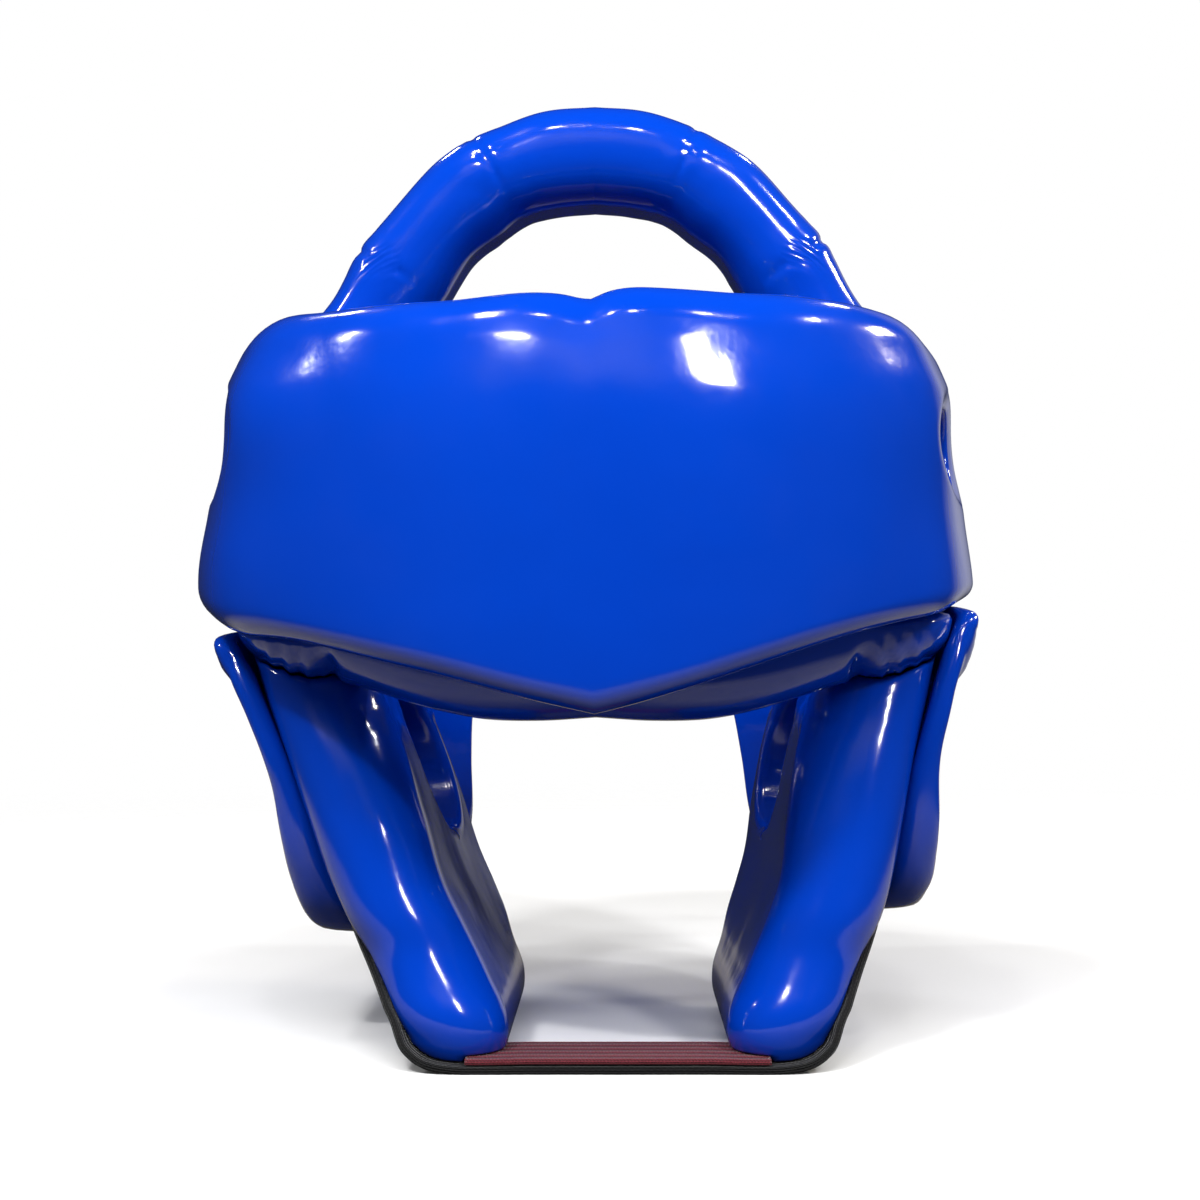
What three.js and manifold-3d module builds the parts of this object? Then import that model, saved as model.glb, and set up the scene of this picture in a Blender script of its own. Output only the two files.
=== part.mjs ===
// Dipped foam head guard, adult large.
// Millimetres, +Z up, the face looks towards -Y, the origin is the middle of the base on the floor.
// Each foam piece is a loft of rounded sections, cut by its neighbours so that a thin seam stays open.
import * as THREE from 'three';
import { ParametricGeometry } from 'three/addons/geometries/ParametricGeometry.js';
import { mergeVertices } from 'three/addons/utils/BufferGeometryUtils.js';
import Module from 'manifold-3d';

const wasm = await Module();
wasm.setup();

// Driving dimensions
const DEPTH = 260; // front of the forehead pad to the back of the shell
const FRONT_Y = -DEPTH / 2; // where depth 0 of the tables lies
const HEAD_DEPTH = 142; // depth of the head's upright axis
const PLAN_POWER = 2.3; // squareness of the shell seen from above
const SEAM = 0.3; // open seam between two pieces
const PAD_SEAM = 0.6; // the same between the pad and the band, along their whole faces

const SHELL_THICK = 28;
const BAND_END = 105; // degrees from the front, where the band meets the back pad
const PAD_END = 88; // degrees from the front
const BROW_TIP_Z = 103.5; // lowest point of the pad's V edge
const BROW_MIDDLE_Z = 118; // height at which the V edge's sideways reach is read
const BROW_SLOPE = 0.213; // rise of the V edge for each millimetre sideways
const PAD_TOP_RADIUS = 13;
const PAD_LOW_RADIUS = 7;
const WALL_RADIUS = 12; // rounding of the band's and the back pad's edges
const FULL_ROUND = 0.96; // most of a half thickness that a rounding may take

const VENT = { angle: 71, z: 181, radius: 12.5, length: 120, sides: 24 };
const EAR_HOLE = { depth: 124, z: 88, halfWidth: 24, halfHeight: 28, start: 20, length: 90, sides: 28 };

const ARCH_DEPTH = 125.5; // depth of the arch's middle plane
const ARCH_WIDTH = 45; // front to back
const ARCH_RADIUS = 14.5;
const ARCH_LAST = 9; // last station of the arch's table, at its middle
const CHEEK_RADIUS = 13;
const CHEEK_TOP = 125; // height to which a cheek is drawn before the band cuts it
const GUARD_RADIUS = 7;
const GUARD_LOW = 33;
const GUARD_TOP = 127;

const STRAP_WIDTH = 26;
const STRAP_THICK = 2.4;
const STRAP_RADIUS = 0.5; // rounding of the strap's edges
const LINING_THICK = 1.6;
const STRAP_END = 8; // station of the strap's table where it ends
const STRAP_END_ROOM = 0.1; // spare length of the room cut for it
const LINING_END = 1.8; // station where the lining ends

const SEAM_ANGLE = 0.1; // half of the seam at the band's ends, in degrees
const TANGENT_STEP = 0.1; // stations either side of a point that give its direction
const CUTTER = { low: -15, high: 230, outer: 25, inner: -60, radius: 1, reach: 125 };
const STEPS = { band: 34, pad: 44, back: 40, arch: 30, cheek: 18, guard: 16, strap: 32, lining: 6,
  cutter: 60 };

// Outer face of the shell by height: half width and half length from the head's axis
const SHELL = smooth(['z', 'halfWidth', 'halfLength'], [
  [-20, 58, 104],
  [25, 68, 108],
  [40, 75, 110],
  [51, 80, 112],
  [70, 86, 114],
  [88, 92, 116],
  [106, 100, 117.5],
  [125, 107.5, 118],
  [140, 109, 118],
  [170, 106, 118],
  [192, 103, 117],
  [210, 99.5, 114],
  [240, 93, 108],
]);

// Edges of the brow band by degrees from the front
const BAND = smooth(['angle', 'low', 'high'], [
  [0, 100, 212],
  [20, 102.5, 212],
  [40, 108, 210],
  [60, 113, 207],
  [80, 115.5, 205],
  [110, 116, 204],
]);

// Forehead pad by degrees from the front, `tuck` shortens its ends
const PAD = smooth(['angle', 'thick', 'high', 'tuck'], [
  [0, 24, 217.5, 0],
  [3, 24, 219, 0],
  [18, 22.8, 219, 0],
  [38, 19.8, 218, 0],
  [58, 15.8, 215, 0],
  [72, 13.6, 212, 0],
  [81, 12.6, 210.5, 0],
  [85.5, 10.5, 209, 3.5],
  [88, 6.5, 207, 11],
]);

// How far the pad's face stands out or in, by height, as a share of its thickness
const PAD_FACE = smooth(['z', 'share'], [
  [95, 0.97],
  [130, 1],
  [160, 1],
  [190, 0.95],
  [206, 0.86],
  [222, 0.74],
]);

// Edges of the back pad by degrees from the rear, with the neck notch in the middle
const BACK = smooth(['angle', 'low', 'high', 'thick'], [
  [0, 98, 186, 22],
  [25, 97, 187, 22],
  [31, 91, 188.5, 22],
  [35.5, 70, 190, 22.5],
  [39, 53, 191, 23],
  [44.5, 45, 193, 23.5],
  [57, 38, 198, 25],
  [76, 28, 204, 31],
]);

// Crown arch from its foot to the middle, thinner at each fold
const ARCH = smooth(['station', 'x', 'z', 'thick'], [
  [0, 85, 198.5, 31],
  [1, 82, 203.5, 31.5],
  [2, 78, 210, 31.5],
  [3, 70.5, 221.5, 29.5],
  [4, 60.5, 237.5, 30.5],
  [5, 50.5, 251.5, 28.5],
  [6, 40, 261.5, 30.5],
  [7, 28, 268.8, 29],
  [8, 14, 273.5, 31],
  [9, 0, 274.8, 31],
]);

// Cheek by height: depths of its front and rear, inner and outer faces at both
const CHEEK = smooth(['z', 'front', 'rear', 'innerFront', 'outerFront', 'innerRear', 'outerRear'], [
  [0, 45, 134, 36, 56, 35, 55.5],
  [3, 42, 138, 33.5, 59.5, 32.5, 59],
  [10, 40, 145, 32, 63, 30.5, 62.5],
  [25, 43, 160, 38, 70.5, 34.5, 70],
  [40, 46, 173, 45, 78, 40, 77.5],
  [51, 49, 175, 50, 82.5, 44, 82.5],
  [70, 54, 175, 54.5, 88.5, 48.5, 88],
  [88, 60, 175, 59, 94, 53.5, 93.5],
  [106, 68, 175, 66, 100.5, 60, 100],
  [125, 78, 175, 76, 107, 70, 106],
]);

// Ear guard by height: depths of its front and rear, its inner and outer faces
const GUARD = smooth(['z', 'front', 'rear', 'inner', 'outer'], [
  [33, 98, 136, 72, 86],
  [35, 91, 143, 71, 89],
  [40, 84, 150, 73, 92.5],
  [53, 76, 162, 78, 97],
  [82, 72, 168, 87, 101.5],
  [100, 74, 166, 94, 106.5],
  [118, 80, 159, 100, 113.5],
  [125, 86, 153, 102, 114.5],
  [127, 92, 148, 104, 113],
]);

// The relaxed jaw hangs a little to one side, by height
const LEAN = smooth(['z', 'x'], [
  [0, 7.5],
  [20, 7.2],
  [40, 6.3],
  [67, 4],
  [88, 2.2],
  [110, 0.7],
  [125, 0],
  [140, 0],
]);

// Middle line of the strap from the centre to one end, up the outside of a cheek
const STRAP = smooth(['station', 'x', 'depth', 'z'], [
  [0, 0, 50, 1.2],
  [1, 24, 50, 1.2],
  [2, 47, 50, 1.2],
  [3, 57, 52, 4],
  [4, 62.6, 57, 11.5],
  [5, 69, 67, 24],
  [6, 75.6, 80, 37],
  [7, 80.8, 93, 49],
  [8, 84.2, 104, 58],
  [9, 87.3, 114, 66],
]);

const vinyl = new THREE.MeshStandardMaterial({ color: 0x0a3fd0, roughness: 0.12, metalness: 0 });
const elastic = new THREE.MeshStandardMaterial({ color: 0x101012, roughness: 0.85, metalness: 0 });
const maroon = new THREE.MeshStandardMaterial({ color: 0x5a1420, roughness: 0.8, metalness: 0 });

// A table becomes a smooth function of its first column.
function smooth(columns, rows) {
  const keys = rows.map((row) => row[0]);
  const values = rows.flatMap((row) => row.slice(1));
  const names = columns.slice(1);
  const spline = new THREE.CubicInterpolant(keys, values, names.length);
  return (key) => {
    const found = spline.evaluate(key);
    return Object.fromEntries(names.map((name, index) => [name, found[index]]));
  };
}

function radians(degrees) {
  return THREE.MathUtils.degToRad(degrees);
}

// Places on a rounded rectangle: which corner, how far round it, how far along the next side
function ringPlaces(cornerSteps, sideSteps) {
  const places = [];
  for (let corner = 0; corner < 4; corner += 1) {
    for (let step = 0; step <= cornerSteps; step += 1) {
      places.push({ corner, turn: ((corner + step / cornerSteps) * Math.PI) / 2, along: 0 });
    }
    const onLongSide = corner % 2 === 1;
    for (let step = 1; onLongSide && step <= sideSteps; step += 1) {
      places.push({ corner, turn: ((corner + 1) * Math.PI) / 2, along: step / (sideSteps + 1) });
    }
  }
  return places;
}

const WALL_RING = ringPlaces(3, 1);
const PAD_RING = ringPlaces(3, 3);
const BAR_RING = ringPlaces(3, 0);
const STRAP_RING = ringPlaces(1, 0);
const CORNER_SIGNS = [[1, 1], [-1, 1], [-1, -1], [1, -1]];

// One point of a rounded rectangle, `lowRadius` rounds the two corners on its lower side.
function ringPoint(place, halfWidth, halfHeight, radius, lowRadius = radius) {
  const limit = halfWidth * FULL_ROUND;
  const corner = (index) => {
    const [right, up] = CORNER_SIGNS[index % 4];
    const round = Math.min(up > 0 ? radius : lowRadius, limit);
    const across = right * (halfWidth - round) + round * Math.cos(place.turn);
    const height = up * (halfHeight - round) + round * Math.sin(place.turn);
    return new THREE.Vector2(across, height);
  };
  return corner(place.corner).lerp(corner(place.corner + 1), place.along);
}

// Even stations from start to end, with both ends closed by a flat cap
function stationsBetween(start, end, steps) {
  const stations = [{ at: start, open: 0 }];
  for (let step = 0; step <= steps; step += 1) {
    stations.push({ at: start + ((end - start) * step) / steps, open: 1 });
  }
  stations.push({ at: end, open: 0 });
  return stations;
}

// A closed solid through a ring of points at each station
function loft(stations, ring, pointAt) {
  const surface = (u, v, target) => {
    const station = stations[Math.round(u * (stations.length - 1))];
    const place = ring[Math.round(v * ring.length) % ring.length];
    target.copy(pointAt(station, place));
  };
  return solidOf(new ParametricGeometry(surface, stations.length - 1, ring.length));
}

// A closed geometry becomes a solid that can be cut, its faces turned outwards.
function solidOf(geometry) {
  geometry.deleteAttribute('normal');
  geometry.deleteAttribute('uv');
  const merged = mergeVertices(geometry);
  const points = merged.getAttribute('position').array;
  const index = merged.getIndex().array;
  const corners = [new THREE.Vector3(), new THREE.Vector3(), new THREE.Vector3()];
  const triangles = [];
  let volume = 0;
  for (let i = 0; i < index.length; i += 3) {
    const triangle = [index[i], index[i + 1], index[i + 2]];
    if (new Set(triangle).size < 3) continue;
    triangles.push(...triangle);
    triangle.forEach((vertex, corner) => corners[corner].fromArray(points, vertex * 3));
    volume += corners[0].dot(corners[1].cross(corners[2]));
  }
  if (volume < 0) triangles.reverse();
  const vertProperties = Float32Array.from(points);
  const triVerts = Uint32Array.from(triangles);
  return new wasm.Manifold(new wasm.Mesh({ numProp: 3, vertProperties, triVerts }));
}

// A solid becomes a named mesh, its lower part hanging to one side.
function meshOf(name, solid, material) {
  const { vertProperties, triVerts } = solid.getMesh();
  for (let i = 0; i < vertProperties.length; i += 3) {
    vertProperties[i] += LEAN(vertProperties[i + 2]).x;
  }
  const geometry = new THREE.BufferGeometry();
  geometry.setAttribute('position', new THREE.BufferAttribute(vertProperties, 3));
  geometry.setIndex(new THREE.BufferAttribute(triVerts, 1));
  geometry.computeVertexNormals();
  const mesh = new THREE.Mesh(geometry, material);
  mesh.name = name;
  return mesh;
}

// A place on the shell's outer face, moved outwards by `outset`
function shellPoint(degrees, z, outset) {
  const angle = radians(degrees);
  const { halfWidth, halfLength } = SHELL(z);
  const across = Math.abs(Math.sin(angle)) / halfWidth;
  const along = Math.abs(Math.cos(angle)) / halfLength;
  const radius = (across ** PLAN_POWER + along ** PLAN_POWER) ** (-1 / PLAN_POWER) + outset;
  const y = FRONT_Y + HEAD_DEPTH - radius * Math.cos(angle);
  return new THREE.Vector3(radius * Math.sin(angle), y, z);
}

// A padded wall round the head; edges(degrees) gives its edges, faces and rounding,
// and shareAt(z) draws its outer face in.
function wall(stations, ring, edges, shareAt = () => 1) {
  return loft(stations, ring, (station, place) => {
    const { low, high, outer, inner, radius, lowRadius } = edges(station.at);
    const point = ringPoint(place, (outer - inner) / 2, (high - low) / 2, radius, lowRadius);
    point.multiplyScalar(station.open);
    const z = (low + high) / 2 + point.y;
    const depth = (outer - inner) / 2 + point.x;
    return shellPoint(station.at, z, inner + depth * shareAt(z));
  });
}

function bandSolid(grow) {
  const end = BAND_END - SEAM_ANGLE;
  const edges = (angle) => {
    const { low, high } = BAND(Math.abs(angle));
    const faces = { outer: grow, inner: -SHELL_THICK - grow };
    return { low: low - grow, high: high + grow, radius: WALL_RADIUS, ...faces };
  };
  return wall(stationsBetween(-end, end, STEPS.band), WALL_RING, edges);
}

// Height of the pad's V edge at an angle from the front
function browEdge(angle) {
  const { thick } = PAD(Math.abs(angle));
  return BROW_TIP_Z + BROW_SLOPE * Math.abs(shellPoint(angle, BROW_MIDDLE_Z, thick).x);
}

function padSolid(grow) {
  const end = PAD_END + grow / 2;
  const edges = (angle) => {
    const { thick, high, tuck } = PAD(Math.abs(angle));
    const faces = { outer: thick + grow, inner: PAD_SEAM - grow };
    const rounding = { radius: PAD_TOP_RADIUS, lowRadius: PAD_LOW_RADIUS };
    return { low: browEdge(angle) + tuck - grow, high: high - tuck + grow, ...faces, ...rounding };
  };
  return wall(stationsBetween(-end, end, STEPS.pad), PAD_RING, edges, (z) => PAD_FACE(z).share);
}

function backSolid(grow) {
  const reach = 180 - BAND_END - SEAM_ANGLE + grow / 2;
  const edges = (angle) => {
    const { low, high, thick } = BACK(Math.abs(angle - 180));
    const faces = { outer: grow, inner: -thick - grow };
    return { low: low - grow, high: high + grow, radius: WALL_RADIUS, ...faces };
  };
  return wall(stationsBetween(180 - reach, 180 + reach, STEPS.back), WALL_RING, edges);
}

// Room behind the seam between a cheek and the back pad, used only to cut the cheek
function behindSeam() {
  const start = BAND_END - SEAM_ANGLE;
  return wall(stationsBetween(start, 360 - start, STEPS.cutter), WALL_RING, () => CUTTER);
}

// Room above the seam between a cheek and the brow band, used only to cut the cheek
function aboveSeam() {
  const edges = (angle) => ({ ...CUTTER, low: BAND(Math.abs(angle)).low - 2 * SEAM });
  return wall(stationsBetween(-CUTTER.reach, CUTTER.reach, STEPS.cutter), WALL_RING, edges);
}

function archSolid() {
  const middle = (station) => {
    const { x, z, thick } = ARCH(ARCH_LAST - Math.min(Math.abs(station), ARCH_LAST));
    return { x: Math.sign(station) * x, z, thick };
  };
  return loft(stationsBetween(-ARCH_LAST, ARCH_LAST, STEPS.arch), BAR_RING, (station, place) => {
    const here = middle(station.at);
    const before = middle(station.at - TANGENT_STEP);
    const after = middle(station.at + TANGENT_STEP);
    const along = new THREE.Vector2(after.x - before.x, after.z - before.z).normalize();
    const point = ringPoint(place, here.thick / 2, ARCH_WIDTH / 2, ARCH_RADIUS);
    point.multiplyScalar(station.open);
    const x = here.x - along.y * point.x;
    const z = here.z + along.x * point.x;
    return new THREE.Vector3(x, FRONT_Y + ARCH_DEPTH + point.y, z);
  });
}

// A cheek or ear guard section: a rounded rectangle lying flat, with its own faces at front and rear
function flatPoint(side, station, place, size) {
  const { front, rear, innerFront, outerFront, innerRear, outerRear, radius } = size;
  const halfDepth = (rear - front) / 2;
  const halfThick = (outerFront - innerFront + outerRear - innerRear) / 4;
  const point = ringPoint(place, halfThick, halfDepth, radius).multiplyScalar(station.open);
  const share = (point.y + halfDepth) / (2 * halfDepth);
  const inner = THREE.MathUtils.lerp(innerFront, innerRear, share);
  const outer = THREE.MathUtils.lerp(outerFront, outerRear, share);
  const x = (inner + outer) / 2 + (point.x * (outer - inner)) / (2 * halfThick);
  return new THREE.Vector3(side * x, FRONT_Y + front + halfDepth + point.y, station.at);
}

function cheekBody(side, grow) {
  return loft(stationsBetween(0, CHEEK_TOP, STEPS.cheek), WALL_RING, (station, place) => {
    const row = CHEEK(station.at);
    return flatPoint(side, station, place, {
      front: row.front - grow,
      rear: row.rear + grow,
      innerFront: row.innerFront - grow,
      outerFront: row.outerFront + grow,
      innerRear: row.innerRear - grow,
      outerRear: row.outerRear + grow,
      radius: CHEEK_RADIUS,
    });
  });
}

function guardBody(side) {
  return loft(stationsBetween(GUARD_LOW, GUARD_TOP, STEPS.guard), WALL_RING, (station, place) => {
    const { front, rear, inner, outer } = GUARD(station.at);
    const faces = { innerFront: inner, outerFront: outer, innerRear: inner, outerRear: outer };
    return flatPoint(side, station, place, { front, rear, radius: GUARD_RADIUS, ...faces });
  });
}

// A round bar lying sideways through a cheek, used only to cut the ear hole
function earHole(side) {
  const { depth, z, halfWidth, halfHeight, start, length, sides } = EAR_HOLE;
  const hole = new THREE.CylinderGeometry(1, 1, length, sides);
  hole.rotateZ(Math.PI / 2);
  hole.scale(1, halfWidth, halfHeight);
  hole.translate(side * (start + length / 2), FRONT_Y + depth, z);
  return solidOf(hole);
}

// A round bar square to the pad's face, used only to cut the vent
function ventHole(side) {
  const { angle, z, radius, length, sides } = VENT;
  const hole = new THREE.CylinderGeometry(radius, radius, length, sides);
  hole.rotateZ(Math.PI / 2 - side * radians(90 - angle));
  const middle = shellPoint(side * angle, z, 0);
  hole.translate(middle.x, middle.y, middle.z);
  return solidOf(hole);
}

// A strip along the strap's middle line, between two heights above that line
function strapSolid({ reach, steps, low, high, grow }) {
  const middle = (station) => {
    const { x, depth, z } = STRAP(Math.abs(station));
    return new THREE.Vector3(Math.sign(station) * x, FRONT_Y + depth, z);
  };
  return loft(stationsBetween(-reach, reach, steps), STRAP_RING, (station, place) => {
    const here = middle(station.at);
    const along = middle(station.at + TANGENT_STEP).sub(middle(station.at - TANGENT_STEP)).normalize();
    const across = new THREE.Vector3(0, 1, 0).addScaledVector(along, -along.y).normalize();
    const up = new THREE.Vector3().crossVectors(along, across);
    const point = ringPoint(place, (high - low) / 2 + grow, STRAP_WIDTH / 2 + grow, STRAP_RADIUS);
    point.multiplyScalar(station.open);
    return here.addScaledVector(up, (low + high) / 2 + point.x).addScaledVector(across, point.y);
  });
}

const strapFaces = { low: -STRAP_THICK / 2, high: STRAP_THICK / 2 };
const liningFaces = { low: strapFaces.high + SEAM, high: strapFaces.high + SEAM + LINING_THICK };
const strap = strapSolid({ reach: STRAP_END, steps: STEPS.strap, grow: 0, ...strapFaces });
const lining = strapSolid({ reach: LINING_END, steps: STEPS.lining, grow: 0, ...liningFaces });
const strapRoom = strapSolid({
  reach: STRAP_END + STRAP_END_ROOM,
  steps: STEPS.strap,
  low: strapFaces.low,
  high: liningFaces.high,
  grow: 2 * SEAM,
});
const bandRoom = bandSolid(SEAM);
const padRoom = padSolid(SEAM);
const backRoom = backSolid(2 * SEAM);
const ventBars = ventHole(1).add(ventHole(-1));

const headGuard = new THREE.Group();
headGuard.add(meshOf('forehead_pad', padSolid(0).subtract(ventBars), vinyl));
headGuard.add(meshOf('brow_band', bandSolid(0).subtract(ventBars), vinyl));
headGuard.add(meshOf('crown_arch', archSolid().subtract(bandRoom).subtract(padRoom), vinyl));
headGuard.add(meshOf('back_pad', backSolid(0), vinyl));
for (const [name, side] of [['left', 1], ['right', -1]]) {
  const cheek = cheekBody(side, 0).subtract(behindSeam()).subtract(aboveSeam()).subtract(strapRoom);
  headGuard.add(meshOf(`cheek_${name}`, cheek.subtract(earHole(side)), vinyl));
  const cover = guardBody(side).subtract(cheekBody(side, SEAM)).subtract(bandRoom).subtract(padRoom);
  headGuard.add(meshOf(`ear_guard_${name}`, cover.subtract(backRoom).subtract(strapRoom), vinyl));
}
headGuard.add(meshOf('chin_strap', strap, elastic));
headGuard.add(meshOf('strap_lining', lining, maroon));

export default headGuard;
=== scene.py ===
"""Dresses the dipped foam head guard: its soft pieces, their finishes and a studio stage."""

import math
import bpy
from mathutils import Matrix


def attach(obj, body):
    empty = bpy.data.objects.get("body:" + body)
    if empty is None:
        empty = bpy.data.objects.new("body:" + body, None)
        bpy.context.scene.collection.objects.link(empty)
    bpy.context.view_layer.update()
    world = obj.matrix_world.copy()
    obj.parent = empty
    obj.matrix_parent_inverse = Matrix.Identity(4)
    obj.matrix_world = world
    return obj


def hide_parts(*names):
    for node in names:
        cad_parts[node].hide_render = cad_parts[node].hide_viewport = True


bl_info = {
    "name": "Dipped Foam Head Guard",
    "version": (1, 0, 0),
    "blender": (4, 5, 0),
    "location": "3D View > Sidebar > Head Guard",
    "description": "Builds a glossy dipped foam head guard on its packed frame",
    "category": "Add Mesh",
}

import bmesh
import bpy
from bpy.props import FloatProperty, FloatVectorProperty, PointerProperty
from mathutils import Vector, noise
from mathutils.bvhtree import BVHTree

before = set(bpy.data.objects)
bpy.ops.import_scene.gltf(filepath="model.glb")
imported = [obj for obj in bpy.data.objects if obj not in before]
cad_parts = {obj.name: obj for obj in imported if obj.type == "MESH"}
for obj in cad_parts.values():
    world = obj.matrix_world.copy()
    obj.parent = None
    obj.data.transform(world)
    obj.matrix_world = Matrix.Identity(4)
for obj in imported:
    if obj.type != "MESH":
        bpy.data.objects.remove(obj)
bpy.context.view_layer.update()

MM = 0.001  # the tables and formulas below are in millimetres
SIDES = {"left": 1, "right": -1}

FRONT_Y = -130  # where depth 0 of the tables lies
HEAD_Y = 12  # the head's upright axis
PLAN_POWER = 2.3  # squareness of the shell seen from above
SHELL_THICK = 28
BAND_END = 105  # degrees from the front, where the band meets the back pad
PAD_END = 88
PAD_SEAM = 0.6
SEAM = 0.4
BROW_TIP_Z = 103.5
BROW_MIDDLE_Z = 118
BROW_SLOPE = 0.213
PAD_TOP_RADIUS = 13
PAD_LOW_RADIUS = 7
WALL_RADIUS = 12
CHEEK_RADIUS = 13
CHEEK_FRONT_RADIUS = 17
GUARD_RADIUS = 7
ARCH_RADIUS = 14.5
ARCH_WIDTH = 45
ARCH_Y = -4.5
ARCH_LAST = 9
SEAM_ROUND = 2.5  # rounding where two pieces meet end to end
VENT_ANGLE = 70
VENT_Z = 181
PAD_VENT_OUTSET = 4.2  # between the pad's two skins, where its vent's halves meet
PAD_VENT_LIP = 1.4
BAND_VENT_LIP = 2.5
TEMPLE_SWELL = 10.5
EAR_X = 75
EAR_Y = -6
EAR_Z = 84
EAR_LIP = 4
GUARD_LOW = 33
GUARD_HIGH = 127
STRAP_REACH = 8
STRAP_TOP_Z = 75
LINING_REACH = 1.8
CORNERS = ((1, 1), (-1, 1), (-1, -1), (1, -1))


class Table:
    """Rows of numbers, each column a smooth curve over the first one."""

    def __init__(self, names, rows):
        self.keys = [row[0] for row in rows]
        self.columns = {name: [row[i + 1] for row in rows] for i, name in enumerate(names)}

    def slope(self, values, i):
        """The curve's slope at row i, from the steps on both sides of it."""
        steps = [j for j in (i - 1, i) if 0 <= j < len(values) - 1]
        found = [(values[j + 1] - values[j]) / (self.keys[j + 1] - self.keys[j]) for j in steps]
        return sum(found) / len(found)

    def at(self, name, key):
        """The column's value at a key, held at the two ends."""
        keys = self.keys
        values = self.columns[name]
        key = min(max(key, keys[0]), keys[-1])
        i = max(j for j in range(len(keys) - 1) if keys[j] <= key)
        span = keys[i + 1] - keys[i]
        t = (key - keys[i]) / span
        first = values[i] * (1 + 2 * t) * (1 - t) ** 2
        last = values[i + 1] * t * t * (3 - 2 * t)
        leave = self.slope(values, i) * span * t * (1 - t) ** 2
        arrive = self.slope(values, i + 1) * span * t * t * (t - 1)
        return first + last + leave + arrive


SHELL = Table(("half_width", "half_length"), (
    (-20, 58, 104), (25, 68, 108), (40, 75, 110), (51, 80, 112), (70, 86, 114), (88, 92, 116),
    (106, 100, 117.5), (125, 107.5, 118), (140, 109, 118), (170, 106, 118), (192, 103, 117),
    (210, 99.5, 114), (240, 93, 108)))
BAND = Table(("low", "high"), (
    (0, 101, 212), (9, 100, 212), (18, 100.4, 212), (40, 108, 210), (60, 113, 207), (80, 115.5, 205),
    (110, 116, 204)))
PAD = Table(("thick", "high", "tuck"), (
    (0, 24, 217.5, 0), (3, 24, 219, 0), (18, 22.8, 219, 0), (38, 19.8, 218, 0), (58, 15.8, 215, 0),
    (72, 13.6, 212, 0), (81, 12.6, 210.5, 0), (85.5, 10.5, 209, 3.5), (88, 6.5, 207, 11)))
PAD_FACE = Table(("share",), ((95, 0.97), (130, 1), (160, 1), (190, 0.95), (206, 0.86), (222, 0.74)))
BACK = Table(("low", "high", "thick"), (
    (0, 98, 186, 22), (23.5, 97, 187, 22), (29.5, 91, 188.5, 22), (34, 70, 190, 22.5), (37.5, 53, 191, 23),
    (43, 45, 193, 23.5), (57, 38, 198, 25), (76, 28, 204, 31)))
ARCH = Table(("x", "z", "thick"), (
    (0, 85, 198.5, 31), (1, 82, 203.5, 31.5), (2, 78, 210, 31.5), (3, 70.5, 221.5, 29.5),
    (4, 60.5, 237.5, 30.5), (5, 50.5, 251.5, 28.5), (6, 40, 261.5, 30.5), (7, 28, 268.8, 29),
    (8, 14, 273.5, 31), (9, 0, 274.8, 31)))
CHEEK = Table(("front", "rear", "inner_front", "outer_front", "inner_rear", "outer_rear"), (
    (0, 45, 134, 36, 56, 35, 55.5), (3, 42, 138, 33.5, 59.5, 32.5, 59), (10, 40, 145, 32, 63, 30.5, 62.5),
    (25, 43, 160, 38, 70.5, 34.5, 70), (40, 46, 173, 45, 78, 40, 77.5), (51, 49, 175, 50, 82.5, 44, 82.5),
    (70, 54, 175, 54.5, 88.5, 48.5, 88), (88, 60, 175, 59, 94, 53.5, 93.5),
    (106, 68, 175, 66, 100.5, 60, 100), (125, 78, 175, 76, 107, 70, 106)))
GUARD = Table(("front", "rear", "outer"), (
    (33, 98, 136, 89), (35, 91, 143, 92.5), (40, 84, 150, 96), (53, 76, 162, 99), (82, 72, 168, 101.5),
    (100, 74, 166, 106.5), (118, 80, 159, 113.5), (125, 86, 153, 114.5), (127, 92, 148, 113)))
LEAN = Table(("x",), (
    (0, 7.5), (20, 7.2), (40, 6.3), (67, 4), (88, 2.2), (110, 0.7), (125, 0), (140, 0)))
STRAP = Table(("x", "depth", "z"), (
    (0, 0, 50, 1.2), (1, 24, 50, 1.2), (2, 47, 50, 1.2), (3, 57, 52, 4), (4, 62.6, 57, 11.5),
    (5, 69, 67, 24), (6, 75.6, 80, 37), (7, 80.8, 93, 49), (8, 84.2, 104, 58), (9, 87.3, 114, 66)))


def ease(low, high, value):
    """0 below low and 1 above high, with a smooth rise between."""
    t = min(max((value - low) / (high - low), 0), 1)
    return t * t * (3 - 2 * t)


def hump(offset, reach):
    """A smooth bump that is 1 at no offset and dies away over its reach."""
    return math.exp(-((offset / reach) ** 2))


def shell_radius(degrees, z):
    """Distance from the head's axis to the shell's outer face."""
    across = abs(math.sin(math.radians(degrees))) / SHELL.at("half_width", z)
    along = abs(math.cos(math.radians(degrees))) / SHELL.at("half_length", z)
    return (across ** PLAN_POWER + along ** PLAN_POWER) ** (-1 / PLAN_POWER)


def shell_point(degrees, z, outset):
    """A place on the shell's outer face, moved outwards by outset."""
    radius = shell_radius(degrees, z) + outset
    turn = math.radians(degrees)
    return Vector((radius * math.sin(turn), HEAD_Y - radius * math.cos(turn), z))


def angle_of(point):
    """Degrees from the front round the head's axis, positive on the wearer's left."""
    return math.degrees(math.atan2(point.x, HEAD_Y - point.y))


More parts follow.
